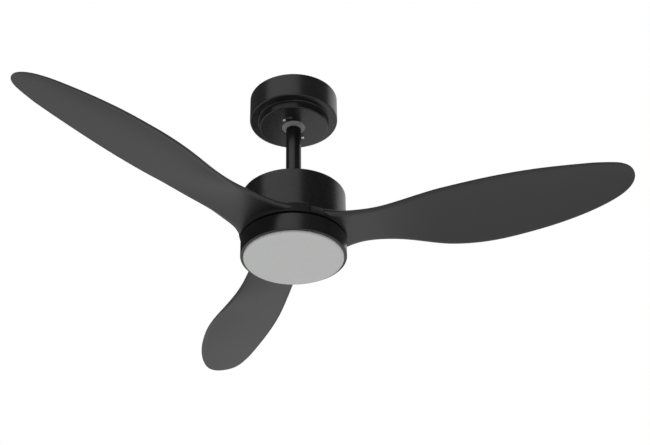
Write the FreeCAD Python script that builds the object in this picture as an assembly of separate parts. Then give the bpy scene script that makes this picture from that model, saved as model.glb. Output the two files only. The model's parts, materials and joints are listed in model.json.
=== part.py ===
"""A three-bladed ceiling fan with a round light, hung from a ball joint on a short rod.

The frame has +Z up and its origin on the ceiling, at the fan's axis, so everything hangs below Z = 0.
All sizes are in millimetres and degrees.

From the ceiling down: the hanger bracket and canopy, the ball and downrod, the yoke and the still upper
housing, the outer-rotor motor that carries the blades, and the light kit with its twist-off lens.
"""

import FreeCAD, Part
import math
import os

V = FreeCAD.Vector

# ---------------------------------------------------------------- driving dimensions
# Overall sizes
sweep_r = 536.0  # centre to blade tip
rod_show = 142.5  # bare rod between canopy and upper housing
sheet = 1.2  # wall of the pressed steel covers
gap = 0.3  # general clearance between pieces that only lie near each other
run_fit = 0.05  # radial clearance of pieces that slide or turn on each other

# Canopy: a drum against the ceiling with a narrower step below it
canopy_r = 74.0
canopy_h = 45.0
canopy_step_r = 59.6
canopy_floor_r = 57.1
canopy_step_h = 13.0
ceiling_gap = 1.0  # shadow gap between canopy and ceiling
canopy_screw_out = 7.7  # the two screws in the canopy floor stand this far outside its hole
canopy_screw_at = 57.0  # direction of the first one
keyhole_sweep = 22.0  # how far the canopy turns on its two screws

# Hanger bracket
plate_t = 2.0
strap_half_l = 62.0
strap_half_w = 22.0
slot_pitch = 90.0
slot_w = 6.0
slot_l = 14.0
leg_out = 5.5  # ball to the inner face of each leg
leg_half_w = 14.0
seat_out = 9.5  # ball to the rim of its seat
seat_t = 2.5
cable_hole_r = 14.0

# Ball and rod
rod_r = 12.7
rod_wall = 2.0
ball_r = 28.5
ball_centre_h = 21.0  # ball centre above the canopy's underside
ball_top = 22.0  # flat on top of the ball, above its centre
key_w = 4.0
key_depth = 4.3
pin_r = 2.5

# Upper housing
housing_r = 84.6
housing_h = 70.0
housing_wall = 1.5
rim_overlap = 1.1  # the blade roots' plates stand this far inside the housing's rim

# Yoke between rod and motor shaft
yoke_wall = 4.8  # rod to the yoke's outside
yoke_flange_out = 12.5
housing_screw_out = 6.5
yoke_flange_t = 3.0
yoke_socket = 21.0
yoke_base = 8.0
clevis_r = 3.0

# Motor
shaft_r = 10.0
shaft_wall = 3.5
rotor_gap = 4.5  # upper housing's wall to the rotor's flange
rotor_wall = 2.5
rotor_plate = 3.0
rotor_flange_w = 5.6
rotor_head_gap = 2.0  # yoke to rotor
magnet_t = 4.0
magnet_count = 16
air_gap = 0.7
slot_count = 12
core_h = 13.0
core_bore_r = 28.0
bearing_section = 6.0  # shaft to the bearing's outside
bearing_w = 7.0
bearing_ball_r = 1.75
bearing_balls = 12
boss_wall = 4.0

# Blades
blade_count = 3
blade_chord = 127.0  # the shares in BLADE_PLAN are of this
blade_pitch = 14.8
blade_rise = 20.8  # how far the tip is above the blade's lowest place
blade_sag = 3.7  # how far that lowest place is below the roots' top
blade_root_t = 7.5
blade_tip_t = 3.6
root_flare = 7.5  # extra thickness where the blade grows out of the hub ring
root_flare_to = 0.16  # share of the blade's length where that has gone
blade_camber = 3.0
blade_at = 105.7  # direction of the first blade
lip_wall = 2.8  # the lip round the housing, at the height of the roots' plates
ring_h = 12.0
ring_taper = 15.0  # the ring's outside draws in downwards
ring_rake = 1.6  # tilt of each root's lip, so that neighbours step at the seam
plate_gap = 5.1  # housing wall to the roots' plates
ring_plate_t = 8.0
lip_gap = 0.6  # housing wall to the lip round it
shelf_gap = 1.2  # housing rim to the shelf below it
seam_gap = 0.5
seam_turn = 2.2  # the seams lie this far round from midway between blades
corner_r = 6.0  # rounding of each lip's raised end
corner_cut = (2.5, 2.6)  # chamfer on that end, in from the outside and back from the seam
blade_screw_in = 18.0  # plate's rim to the blade screws
bore_in = 14.0  # blade screws to the roots' bore
blade_screws_at = (-38.0, 0.0, 38.0)

# Light kit
light_r = 84.6
light_h = 30.0
light_wall = 1.5
light_gap = 3.1  # blade roots to light housing
light_top_edge = 1.4
lip_h = 1.5
lens_in = 4.6  # light housing to lens
lens_proud = 3.5
lens_t = 2.2
lens_wall = 2.0
lens_lugs = 4
lug_angle = 12.0
base_drop = 3.0  # top of light housing to base plate
base_t = 1.5
tray_up = 14.0  # LED tray above the housing's lower edge
tray_t = 1.5
light_screw_in = 12.6
flange_w = 18.1  # light housing to its flange's bore
standoff_in = 4.5  # that bore to the standoffs
board_in = 6.0  # standoffs to the LED board
led_rings = ((32.0, 8), (20.0, 14), (8.0, 20))  # in from the board's edge, and number of LEDs
nut_out = 6.0  # shaft to a nut's corners
driver_at = (7.5, 44.0)  # where the LED driver starts and ends, out from the shaft

# ---------------------------------------------------------------- heights worked out from these
z_canopy_rim = -canopy_h
z_canopy_floor = z_canopy_rim - canopy_step_h
z_ball = z_canopy_floor + ball_centre_h
z_rod_top = z_ball + ball_top
z_housing_top = z_canopy_floor - rod_show
z_housing_rim = z_housing_top - housing_h
z_yoke_top = z_housing_top - housing_wall
z_yoke_seat = z_yoke_top - yoke_flange_t - yoke_socket
z_yoke_low = z_yoke_seat - yoke_base
z_rod_low = z_yoke_seat + 0.5
z_ring_top = z_housing_rim + rim_overlap
z_ring_low = z_ring_top - ring_h
z_motor_top = z_yoke_low - rotor_head_gap
z_light_top = z_ring_low - light_gap
z_light_low = z_light_top - light_h
z_lens_low = z_light_low - lens_proud
z_base_top = z_light_top - base_drop
z_base_low = z_base_top - base_t
z_tray_low = z_light_low + tray_up
z_tray_top = z_tray_low + tray_t
z_core = (z_ring_top + z_motor_top) / 2
z_split = z_core - 2.0  # where the two rotor shells meet
z_shelf = z_housing_rim - shelf_gap

# ---------------------------------------------------------------- radii worked out from these
canopy_hole_r = math.sqrt(ball_r**2 - (ball_centre_h - sheet) ** 2) + gap
canopy_screw_r = canopy_hole_r + canopy_screw_out
seat_r = ball_r + seat_out
leg_y = ball_r + leg_out
yoke_r = rod_r + yoke_wall
yoke_flange_r = yoke_r + yoke_flange_out
shaft_bore_r = shaft_r - shaft_wall
bearing_r = shaft_r + bearing_section
rotor_flange_r = housing_r - housing_wall - rotor_gap
rotor_r = rotor_flange_r - rotor_flange_w
lip_r = housing_r + lip_gap  # inner radius of the blade roots' lip
ring_r = lip_r + lip_wall  # outer radius of the lip at the height of the roots' plates
ring_plate_r = housing_r - housing_wall - plate_gap
blade_screw_r = ring_plate_r - blade_screw_in
ring_bore_r = blade_screw_r - bore_in
lens_r = light_r - lens_in
flange_bore_r = light_r - flange_w
standoff_at_r = flange_bore_r - standoff_in
led_board_r = standoff_at_r - board_in


# ---------------------------------------------------------------- helpers
def cylinder(radius, z_low, z_high, x=0.0, y=0.0):
    return Part.makeCylinder(radius, z_high - z_low, V(x, y, z_low))


def tube(outer, inner, z_low, z_high, x=0.0, y=0.0):
    return cylinder(outer, z_low, z_high, x, y).cut(cylinder(inner, z_low - 1, z_high + 1, x, y))


def block(x_low, x_high, y_low, y_high, z_low, z_high):
    corner = V(x_low, y_low, z_low)
    return Part.makeBox(x_high - x_low, y_high - y_low, z_high - z_low, corner)


def rod_along(radius, start, direction, length):
    return Part.makeCylinder(radius, length, start, direction)


def turned(shape, degrees):
    copy = shape.copy()
    copy.rotate(V(0, 0, 0), V(0, 0, 1), degrees)
    return copy


def around(shape, count, first=0.0):
    return [turned(shape, first + 360.0 * k / count) for k in range(count)]


def revolved(profile):
    """A solid of revolution from (radius, z) corners."""
    points = [V(r, 0, z) for r, z in profile]
    face = Part.Face(Part.makePolygon(points + points[:1]))
    return face.revolve(V(0, 0, 0), V(0, 0, 1), 360)


def wedge(radius, z_low, z_high, half_angle, centre=0.0):
    """A pie slice about Z, used to cut or keep an arc."""
    slice_of_pie = Part.makeCylinder(radius, z_high - z_low, V(0, 0, z_low), V(0, 0, 1), 2 * half_angle)
    return turned(slice_of_pie, centre - half_angle)


def rounded(shape, radius, picks):
    """The shape with a fillet on each circular edge whose (radius, z) is in picks."""
    edges = []
    for edge in shape.Edges:
        if not isinstance(edge.Curve, Part.Circle):
            continue
        here = (edge.Curve.Radius, edge.Curve.Center.z)
        if any(abs(here[0] - r) < 0.05 and abs(here[1] - z) < 0.05 for r, z in picks):
            edges.append(edge)
    return shape.makeFillet(radius, edges)


def pan_screw(x, y, z_face, shank_r, length, up=True, head_h=None):
    """A pan-head screw whose head sits under z_face and whose shank goes up, or the other way round."""
    head_r = 1.8 * shank_r
    head_h = head_h or 1.2 * shank_r
    way = 1 if up else -1
    head = rod_along(head_r, V(x, y, z_face), V(0, 0, -way), head_h)
    crown = [e for e in head.Edges if abs(e.CenterOfMass.z - (z_face - way * head_h)) < 1e-6]
    head = head.makeFillet(0.45 * head_h, crown)
    recess_z = z_face - way * head_h
    for across, along in ((0.22, 1.0), (1.0, 0.22)):
        half_x, half_y = across * shank_r, along * shank_r
        low, high = sorted((recess_z - way, recess_z + way * 0.55 * head_h))
        head = head.cut(block(x - half_x, x + half_x, y - half_y, y + half_y, low, high))
    return head.fuse(rod_along(shank_r, V(x, y, z_face), V(0, 0, way), length)).removeSplitter()


def polar(radius, degrees):
    return radius * math.cos(math.radians(degrees)), radius * math.sin(math.radians(degrees))


def write(name, shapes):
    """Writes a node; several shapes make one node of separate solids."""
    shape = shapes if isinstance(shapes, Part.Shape) else Part.makeCompound(shapes)
    if not shape.isValid() or not shape.Solids:
        raise ValueError(f"{name} isn't a valid solid")
    os.makedirs("parts", exist_ok=True)
    shape.exportStep(f"parts/{name}.step")
    print(f"{name:28s} {len(shape.Solids):3d} solids {shape.Volume / 1000:9.2f} cm3")


# ---------------------------------------------------------------- ceiling side
canopy_screw_places = [polar(canopy_screw_r, canopy_screw_at + 180 * k) for k in range(2)]
canopy_screw_shank = 1.45
canopy_screw_head = 2.8  # tall heads, so that the canopy drops off them when they are only loosened


def hanger_bracket():
    """Pressed strap with two wings, two legs, and a C-shaped seat for the ball with its key."""
    floor = z_canopy_floor + sheet
    body = block(-strap_half_w, strap_half_w, -strap_half_l, strap_half_l, -plate_t, 0)
    body = body.fuse(block(strap_half_w, receiver_x[1] - 2, -12, 12, -plate_t, 0))
    body = body.fuse(block(terminal_x[0] - 2, -strap_half_w, -12, 12, -plate_t, 0))
    for side in (-1, 1):
        inner, outer = sorted((side * leg_y, side * (leg_y + plate_t)))
        body = body.fuse(block(-leg_half_w, leg_half_w, inner, outer, floor, -plate_t))
    body = body.fuse(cylinder(seat_r, floor, floor + seat_t))
    body = body.fuse(cylinder(ball_r + 2.5, floor, z_ball - 10))
    # key: a strip beside the ball with a finger that reaches into its groove
    strip_x = ball_r + 2.5
    body = body.fuse(block(strip_x, strip_x + 2.5, -key_w / 2, key_w / 2, floor, z_ball + 4))
    finger = block(0, strip_x, -key_w / 2, key_w / 2, z_ball - 4, z_ball + 4)
    finger_reach = ball_r - key_depth
    finger = finger.cut(rod_along(finger_reach, V(0, -key_w, z_ball), V(0, 1, 0), 2 * key_w))
    body = body.cut(Part.makeSphere(ball_r + run_fit, V(0, 0, z_ball))).fuse(finger)
    # the rod slides in from the side through this slot
    slot_half = rod_r + gap + 0.5
    body = body.cut(block(-seat_r - 1, 0, -slot_half, slot_half, floor - 1, z_ball - 9))
    body = body.cut(cylinder(cable_hole_r, -plate_t - 1, 1))
    for side in (-1, 1):
        y_mid = side * slot_pitch / 2
        reach = (slot_l - slot_w) / 2
        body = body.cut(block(-slot_w / 2, slot_w / 2, y_mid - reach, y_mid + reach, -plate_t - 1, 1))
        for end in (-reach, reach):
            body = body.cut(cylinder(slot_w / 2, -plate_t - 1, 1, 0, y_mid + end))
    for x, y in canopy_screw_places:
        body = body.cut(cylinder(canopy_screw_shank, floor - 1, z_ball, x, y))
    for x, y in receiver_screw_places:
        body = body.cut(Part.makeCone(1.5, 3.0 + run_fit, plate_t, V(x, y, -plate_t)))
    body = body.cut(cylinder(terminal_screw_r, -plate_t - 1, 1, terminal_screw_x, 0))
    return body.cut(cylinder(ground_screw_r, -plate_t - 1, 1, *ground_screw_place)).removeSplitter()


def canopy():
    """Drum with a stepped floor, an opening for the ball and two keyholes for its screws."""
    outer = [(0, -ceiling_gap), (canopy_r, -ceiling_gap), (canopy_r, z_canopy_rim)]
    outer += [(canopy_step_r, z_canopy_rim), (canopy_floor_r, z_canopy_floor), (0, z_canopy_floor)]
    inner = [(0, 0), (canopy_r - sheet, 0), (canopy_r - sheet, z_canopy_rim + sheet)]
    inner += [(canopy_step_r - sheet, z_canopy_rim + sheet)]
    inner += [(canopy_floor_r - sheet, z_canopy_floor + sheet), (0, z_canopy_floor + sheet)]
    shell = rounded(revolved(outer), 2.0, [(canopy_r, z_canopy_rim), (canopy_floor_r, z_canopy_floor)])
    shell = rounded(shell, 1.0, [(canopy_step_r, z_canopy_rim)])
    hollow = rounded(revolved(inner), 1.0, [(canopy_r - sheet, z_canopy_rim + sheet)])
    shell = shell.cut(hollow).cut(cylinder(canopy_hole_r, z_canopy_floor - 1, z_canopy_floor + 3))
    low, high = z_canopy_floor - 1, z_canopy_floor + 3
    neck = canopy_screw_shank + 0.2
    arc = tube(canopy_screw_r + neck, canopy_screw_r - neck, low, high)
    for side in (0, 180):
        start = canopy_screw_at + side
        shell = shell.cut(arc.common(wedge(seat_r, low, high, keyhole_sweep / 2, start + keyhole_sweep / 2)))
        shell = shell.cut(cylinder(neck, low, high, *polar(canopy_screw_r, start)))
        shell = shell.cut(cylinder(3.2, low, high, *polar(canopy_screw_r, start + keyhole_sweep)))
    return shell


def canopy_screws():
    places = canopy_screw_places
    length = sheet + seat_t + 3
    return [pan_screw(x, y, z_canopy_floor, canopy_screw_shank, length, True, canopy_screw_head)
            for x, y in places]


# Receiver box under one wing, terminal block under the other
receiver_x = (38.0, 60.0)
receiver_half_y = 24.0
receiver_h = 22.0
receiver_wall = 1.5
receiver_screw_places = [(48.0, -7.0), (48.0, 7.0)]
terminal_x = (-40.0, -26.0)
terminal_half_y = 12.0
terminal_h = 14.0
terminal_screw_x = -33.0
terminal_screw_r = 1.5
ground_screw_place = (-12.0, -26.0)
ground_screw_r = 2.0


def receiver_case():
    x_low, x_high = receiver_x
    low, high = -plate_t - receiver_h, -plate_t - receiver_wall
    case = block(x_low, x_high, -receiver_half_y, receiver_half_y, low, high)
    case = case.makeFillet(2.0, [e for e in case.Edges if abs(e.tangentAt(0).z) > 0.9])
    w = receiver_wall
    case = case.cut(block(x_low + w, x_high - w, w - receiver_half_y, receiver_half_y - w, low + w, high + 1))
    for side in (-1, 1):  # lead outlets at each end
        case = case.cut(rod_along(3.0, V(49, side * (receiver_half_y - 3), -14), V(0, side, 0), 6))
    return case


def receiver_lid():
    x_low, x_high = receiver_x
    low, high = -plate_t - receiver_wall, -plate_t
    lid = block(x_low, x_high, -receiver_half_y, receiver_half_y, low, high)
    lid = lid.makeFillet(2.0, [e for e in lid.Edges if abs(e.tangentAt(0).z) > 0.9])
    for x, y in receiver_screw_places:
        lid = lid.fuse(tube(3.0, 1.2, low - 6, low, x, y)).cut(cylinder(1.2, low - 6, high, x, y))
    return lid


def receiver_board():
    """Circuit board on the case floor's pads, with a relay, a capacitor and a coil on it."""
    x_low, x_high = (receiver_x[0] + 2, receiver_x[1] - 2)
    floor = -plate_t - receiver_h + receiver_wall
    board = block(x_low, x_high, -21, 21, floor + 1.5, floor + 3.1)
    for x in (x_low + 3, x_high - 3):
        for y in (-18, 18):
            board = board.fuse(cylinder(1.5, floor, floor + 1.5, x, y))
    top = floor + 3.1
    board = board.fuse(block(x_low + 2, x_low + 12, -12, 4, top, top + 5))
    board = board.fuse(cylinder(3.5, top, top + 6, x_high - 6, 14))
    return board.fuse(cylinder(3.0, top, top + 5, x_high - 6, -12))


def countersunk(x, y):
    """Flush screw that holds the receiver lid to the wing."""
    head = Part.makeCone(1.2, 3.0, plate_t - 0.05, V(x, y, -plate_t))
    return head.fuse(cylinder(1.15, -plate_t - 7, -plate_t, x, y))


def terminal_block():
    """Three-pole connector block with its wire holes and clamp-screw wells."""
    x_low, x_high = terminal_x
    body = block(x_low, x_high, -terminal_half_y, terminal_half_y, -plate_t - terminal_h, -plate_t)
    pitch = 2 * terminal_half_y / 3
    for pole in (-1, 0, 1):
        y_mid = pole * pitch
        body = body.cut(block(x_low - 1, x_high + 1, y_mid - 2.2, y_mid + 2.2, -plate_t - 11, -plate_t - 6.6))
        for x in (x_low + 3, x_high - 3):
            body = body.cut(cylinder(1.9, -plate_t - terminal_h - 1, -plate_t - 8, x, y_mid))
    return body.cut(cylinder(terminal_screw_r, -plate_t - 9, 0, terminal_screw_x, 0))


def terminal_screw():
    """Countersunk screw through the wing into the terminal block."""
    head = Part.makeCone(terminal_screw_r, 2.6, plate_t - 0.6, V(terminal_screw_x, 0, -plate_t + 0.55))
    return head.common(cylinder(terminal_screw_r - run_fit, -9, 0, terminal_screw_x, 0)).fuse(
        cylinder(terminal_screw_r - run_fit, -plate_t - 8, -0.1, terminal_screw_x, 0))


def terminal_clamps():
    """Clamp screws down in the wells of the terminal block."""
    pitch = 2 * terminal_half_y / 3
    screws = []
    for pole in (-1, 0, 1):
        for x in (terminal_x[0] + 3, terminal_x[1] - 3):
            low = -plate_t - terminal_h + 1
            y = pole * pitch
            slot = block(x - 2, x + 2, y - 0.3, y + 0.3, low - 1, low + 0.8)
            screws.append(cylinder(1.8, low, low + 1.9, x, y).cut(slot))
    return screws


# ---------------------------------------------------------------- ball, rod and yoke
def hanger_ball():
    """Polymer ball bored for the rod, with a groove for the bracket's key and a slot for the rod's pin."""
    ball = Part.makeSphere(ball_r, V(0, 0, z_ball))
    ball = ball.cut(block(-50, 50, -50, 50, z_rod_top, z_rod_top + 50))
    bore_r = rod_r + run_fit
    low = z_ball - math.sqrt(ball_r**2 - (bore_r + 0.6) ** 2)
    ball = ball.cut(block(-50, 50, -50, 50, low - 50, low))
    ball = ball.cut(cylinder(bore_r, low - 1, z_rod_top + 1))
    groove = block(0, 50, -key_w / 2 - gap, key_w / 2 + gap, z_ball - 14, z_ball + 40)
    groove_floor = ball_r - key_depth - 0.6
    ball = ball.cut(groove.cut(rod_along(groove_floor, V(0, -10, z_ball), V(0, 1, 0), 20)))
    slot_z = z_pin - pin_r
    slot_w_half, slot_l_half = pin_r + 0.2, pin_half_l + gap
    ball = ball.cut(block(-slot_w_half, slot_w_half, -slot_l_half, slot_l_half, slot_z, z_rod_top + 1))
    return ball.cut(rod_along(set_screw_r, V(-40, 0, z_ball), V(1, 0, 0), 40))


z_pin = z_ball + 14.0
pin_half_l = 22.0
set_screw_r = 2.0
z_clevis = z_yoke_top - yoke_flange_t - 8.0
z_yoke_screw = z_clevis - 8.0


def ball_pin():
    return rod_along(pin_r, V(0, -pin_half_l, z_pin), V(0, 1, 0), 2 * pin_half_l)


def grub_screw(start, way, radius, length):
    """Headless set screw with a hexagon socket in its outer end."""
    body = rod_along(radius, start, way, length)
    corners = [V(*polar(0.5 * radius, 60 * k), 0) for k in range(7)]
    socket = Part.Face(Part.makePolygon(corners)).extrude(V(0, 0, -radius))
    socket.Placement = FreeCAD.Placement(start + way * length, FreeCAD.Rotation(V(0, 0, 1), way))
    return body.cut(socket)


def ball_set_screw():
    return grub_screw(V(-rod_r, 0, z_ball), V(-1, 0, 0), set_screw_r - run_fit, 11)


def downrod():
    """Steel pipe with cross holes for the ball pin and the clevis pin."""
    pipe = tube(rod_r, rod_r - rod_wall, z_rod_low, z_rod_top)
    pipe = pipe.cut(rod_along(pin_r, V(0, -20, z_pin), V(0, 1, 0), 40))
    return pipe.cut(rod_along(clevis_r + 0.1, V(0, -20, z_clevis), V(0, 1, 0), 40))


def yoke():
    """Socket that takes the rod, with a flange for the upper housing and a thread for the motor shaft."""
    bore = rod_r + run_fit
    flange_low = z_yoke_top - yoke_flange_t
    profile = [(bore, z_yoke_top), (yoke_flange_r, z_yoke_top), (yoke_flange_r, flange_low)]
    profile += [(yoke_r, flange_low), (yoke_r, z_yoke_low), (shaft_r, z_yoke_low)]
    profile += [(shaft_r, z_yoke_seat), (bore, z_yoke_seat)]
    body = revolved(profile)
    body = body.cut(rod_along(clevis_r + 0.1, V(0, -30, z_clevis), V(0, 1, 0), 60))
    for side in (-1, 1):
        body = body.cut(rod_along(yoke_screw_r, V(0, 0, z_yoke_screw), V(side, 0, 0), 30))
    for x, y in housing_screw_places:
        body = body.cut(cylinder(housing_screw_r, flange_low - 1, z_yoke_top + 1, x, y))
    return body


yoke_screw_r = 2.5
housing_screw_r = 2.0
housing_screw_places = [polar(yoke_r + housing_screw_out, 30 + 120 * k) for k in range(3)]


def clevis_pin():
    half = yoke_r + 4.0
    pin = rod_along(clevis_r, V(0, -half, z_clevis), V(0, 1, 0), 2 * half)
    pin = pin.fuse(rod_along(4.8, V(0, -yoke_r, z_clevis), V(0, -1, 0), 2.0))
    return pin.cut(rod_along(0.9, V(0, yoke_r + 2.0, z_clevis - 5), V(0, 0, 1), 10))


def cotter_clip():
    """Spring clip: a straight leg through the clevis pin and a wavy leg round it."""
    y_leg = yoke_r + 2.0
    wire = 0.8
    bend = 3.5
    side = clevis_r + wire + 0.2
    z_eye = z_clevis - 8.0
    points = [V(0, y_leg, z_clevis + 6.5), V(0, y_leg, z_eye)]
    lead = Part.LineSegment(*points).toShape()
    loop = Part.Arc(points[1], V(bend / 2, y_leg, z_eye - 2.4), V(bend, y_leg, z_eye)).toShape()
    wave = Part.BSplineCurve()
    wave.interpolate(Points=[V(bend, y_leg, z_eye), V(bend - 0.6, y_leg, z_clevis - 5.0),
                             V(side + 0.4, y_leg, z_clevis), V(1.9, y_leg, z_clevis + 5.5)],
                     InitialTangent=V(0, 0, 1), FinalTangent=V(-0.3, 0, 1))
    path = Part.Wire([lead, loop, wave.toShape()])
    section = Part.Wire(Part.makeCircle(wire, points[0], V(0, 0, -1)))
    return path.makePipeShell([section], True, False)


def yoke_set_screws():
    z = z_yoke_screw
    return [grub_screw(V(side * rod_r, 0, z), V(side, 0, 0), yoke_screw_r - run_fit, 8) for side in (-1, 1)]


def upper_housing():
    """Still drum over the motor, open below, with the rod's hole and three screw holes in its top."""
    outer = rounded(cylinder(housing_r, z_housing_rim, z_housing_top), 1.8, [(housing_r, z_housing_top)])
    drum = outer.cut(cylinder(housing_r - housing_wall, z_housing_rim - 1, z_yoke_top))
    drum = drum.cut(cylinder(rod_r + 0.6, z_yoke_top - 1, z_housing_top + 1))
    for x, y in housing_screw_places:
        drum = drum.cut(cylinder(housing_screw_r + 0.2, z_yoke_top - 1, z_housing_top + 1, x, y))
    return drum


def housing_screws():
    length = housing_wall + yoke_flange_t + 2
    shank = housing_screw_r - run_fit
    return [pan_screw(x, y, z_housing_top, shank, length, up=False) for x, y in housing_screw_places]


# ---------------------------------------------------------------- motor, still side
def motor_shaft():
    return tube(shaft_r, shaft_bore_r, z_shaft_low, z_yoke_seat)


nut_t = 5.0
z_shaft_low = z_base_low - nut_t - 0.5
stator_r = rotor_r - rotor_wall - magnet_t - air_gap
tooth_w = 9.0
shoe_t = 3.0
yoke_ring_t = 10.0
coil_over = 3.5  # end turns stand this far above and below the core


def stator_hub():
    """Spider that holds the core on the shaft between the bearings."""
    half = core_h / 2 - 0.5
    hub = tube(core_bore_r, shaft_r, z_core - half, z_core + half)
    for part in around(cylinder(4.5, z_core - half - 1, z_core + half + 1, 19.0, 0), 6):
        hub = hub.cut(part)
    return hub


def stator_core():
    """Laminated core with one T-shaped tooth per coil."""
    low, high = z_core - core_h / 2, z_core + core_h / 2
    core = tube(core_bore_r + yoke_ring_t, core_bore_r, low, high)
    tooth = block(core_bore_r + 2, stator_r - shoe_t / 2, -tooth_w / 2, tooth_w / 2, low, high)
    shoe_half = 180.0 / slot_count - 2.2
    shoe = tube(stator_r, stator_r - shoe_t, low, high).common(wedge(stator_r + 5, low, high, shoe_half))
    for part in around(tooth.fuse(shoe), slot_count):
        core = core.fuse(part)
    return core.common(cylinder(stator_r, low, high)).removeSplitter()


def coil_ring(x_low, x_high, thick, over):
    """A rectangular loop round a tooth, between two radii."""
    half_w, half_h = tooth_w / 2 + gap, core_h / 2 + gap
    side, end = half_w + thick, half_h + over
    outer = block(x_low, x_high, -side, side, z_core - end, z_core + end)
    outer = outer.makeFillet(0.6 * thick, [e for e in outer.Edges if abs(e.tangentAt(0).x) > 0.9])
    hole = block(x_low - 1, x_high + 1, -half_w, half_w, z_core - half_h, z_core + half_h)
    return outer.cut(hole)


def coil_bobbins():
    """Insulating end collars at both ends of each coil."""
    inner = core_bore_r + yoke_ring_t + 1.0
    collar_in = coil_ring(inner, inner + 1.2, 1.6, 1.6)
    outer = stator_r - shoe_t - 1.6
    collar_out = coil_ring(outer - 1.2, outer, 4.0, coil_over)
    bobbins = []
    for collar in (collar_in, collar_out):
        bobbins += around(collar, slot_count)
    return bobbins


def stator_windings():
    """Copper coils, stepped so that each fills its wedge of space between the teeth."""
    inner = core_bore_r + yoke_ring_t + 2.4
    outer = stator_r - shoe_t - 3.0
    step = (outer - inner) / 3
    coil = None
    for k in range(3):
        part = coil_ring(inner + k * step, inner + (k + 1) * step, 1.6 + 1.0 * k, coil_over - 0.4)
        coil = part if coil is None else coil.fuse(part)
    return around(coil.removeSplitter(), slot_count)


# ---------------------------------------------------------------- bearings
pitch_r = (shaft_r + bearing_r) / 2
race_t = 1.7
z_bearings = {"upper": z_motor_top - 1.5 - bearing_w / 2, "lower": z_ring_top + 1.5 + bearing_w / 2}


def race(inner, outer, z_mid):
    """One bearing ring with its ball groove."""
    ring = tube(outer, inner, z_mid - bearing_w / 2, z_mid + bearing_w / 2)
    groove = Part.makeTorus(pitch_r, bearing_ball_r + run_fit, V(0, 0, z_mid))
    return ring.cut(groove)


def inner_race(z_mid):
    return race(shaft_r, shaft_r + race_t, z_mid)


def outer_race(z_mid):
    return race(bearing_r - race_t, bearing_r, z_mid)


def bearing_ball_set(z_mid):
    return around(Part.makeSphere(bearing_ball_r, V(pitch_r, 0, z_mid)), bearing_balls)


def bearing_cage(z_mid):
    """Ring of pockets that keeps the balls apart."""
    cage = tube(pitch_r + 0.7, pitch_r - 0.7, z_mid - 2.4, z_mid + 2.4)
    pocket = rod_along(bearing_ball_r + 0.1, V(pitch_r - 3, 0, z_mid), V(1, 0, 0), 6)
    for part in around(pocket, bearing_balls):
        cage = cage.cut(part)
    return cage


# ---------------------------------------------------------------- rotor
shell_screw_r = 1.5
shell_screw_pitch = (rotor_r + rotor_flange_r) / 2
shell_screws = 6


def rotor_shell(z_plate, z_joint):
    """Die-cast half of the rotor: plate, wall, flange at the joint and a boss for the bearing."""
    way = 1 if z_joint > z_plate else -1
    span = sorted((z_plate, z_joint))
    shell = cylinder(rotor_r, *span)
    inside = sorted((z_plate + way * rotor_plate, z_joint + way))
    shell = shell.cut(cylinder(rotor_r - rotor_wall, *inside))
    shell = shell.fuse(tube(rotor_flange_r, rotor_r - rotor_wall, *sorted((z_joint, z_joint - way * 1.5))))
    boss = sorted((z_plate, z_plate + way * (bearing_w + 2.5)))
    shell = shell.fuse(cylinder(bearing_r + boss_wall, *boss))
    seat = sorted((z_plate + way * 1.5, z_plate + way * 20))
    shell = shell.cut(cylinder(bearing_r, *seat))
    shell = shell.cut(cylinder(bearing_r - race_t, span[0] - 5, span[1] + 5))  # clear of the inner race
    hole = cylinder(shell_screw_r, span[0] - 5, span[1] + 5, shell_screw_pitch, 0)
    for part in around(hole, shell_screws):
        shell = shell.cut(part)
    vent = block(core_bore_r + 2, rotor_r - 11, -2.5, 2.5, z_plate - 5, z_plate + 5)
    vent = vent.makeFillet(2.4, [e for e in vent.Edges if abs(e.tangentAt(0).z) > 0.9])
    for part in around(vent, 6, 15.0 if way > 0 else 0.0):
        shell = shell.cut(part)
    return shell


def rotor_upper_shell():
    return rotor_shell(z_motor_top, z_split)


def rotor_lower_shell():
    """The lower half also has tapped bosses for the blade screws."""
    shell = rotor_shell(z_ring_top, z_split)
    for at in blade_directions:
        for turn in blade_screws_at:
            x, y = polar(blade_screw_r, at + turn)
            shell = shell.fuse(cylinder(4.0, z_ring_top, z_ring_top + rotor_plate + 2.0, x, y))
            shell = shell.cut(cylinder(blade_screw_shank, z_ring_top - 1, z_ring_top + 10, x, y))
    return shell.removeSplitter()


def rotor_shell_screws():
    face = z_split - 1.5
    return around(pan_screw(shell_screw_pitch, 0, face, shell_screw_r - run_fit / 2, 3.0), shell_screws)


def magnets():
    """Arc magnets bonded inside the rotor wall."""
    low, high = z_core - 8.0, z_core + 8.0
    outer = rotor_r - rotor_wall
    ring = tube(outer, outer - magnet_t, low, high)
    return around(ring.common(wedge(outer + 5, low, high, 180.0 / magnet_count - 0.6)), magnet_count)


# ---------------------------------------------------------------- blades
blade_directions = [blade_at + 360.0 * k / blade_count for k in range(blade_count)]
blade_screw_shank = 2.0
root_in = 5.0  # the blade's root section lies this far inside the screws' circle
# Plan shape: share of the blade's length, then the widths behind and ahead of its line as shares of
# the chord. The nose at the tip is rounded off separately.
BLADE_PLAN = (
    (0.058, 0.395, 0.394),
    (0.119, 0.342, 0.350),
    (0.177, 0.337, 0.332),
    (0.248, 0.360, 0.352),
    (0.389, 0.487, 0.407),
    (0.531, 0.564, 0.430),
    (0.698, 0.531, 0.402),
    (0.856, 0.488, 0.326),
    (0.927, 0.488, 0.300),
    (1.000, 0.520, 0.345),
)
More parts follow.
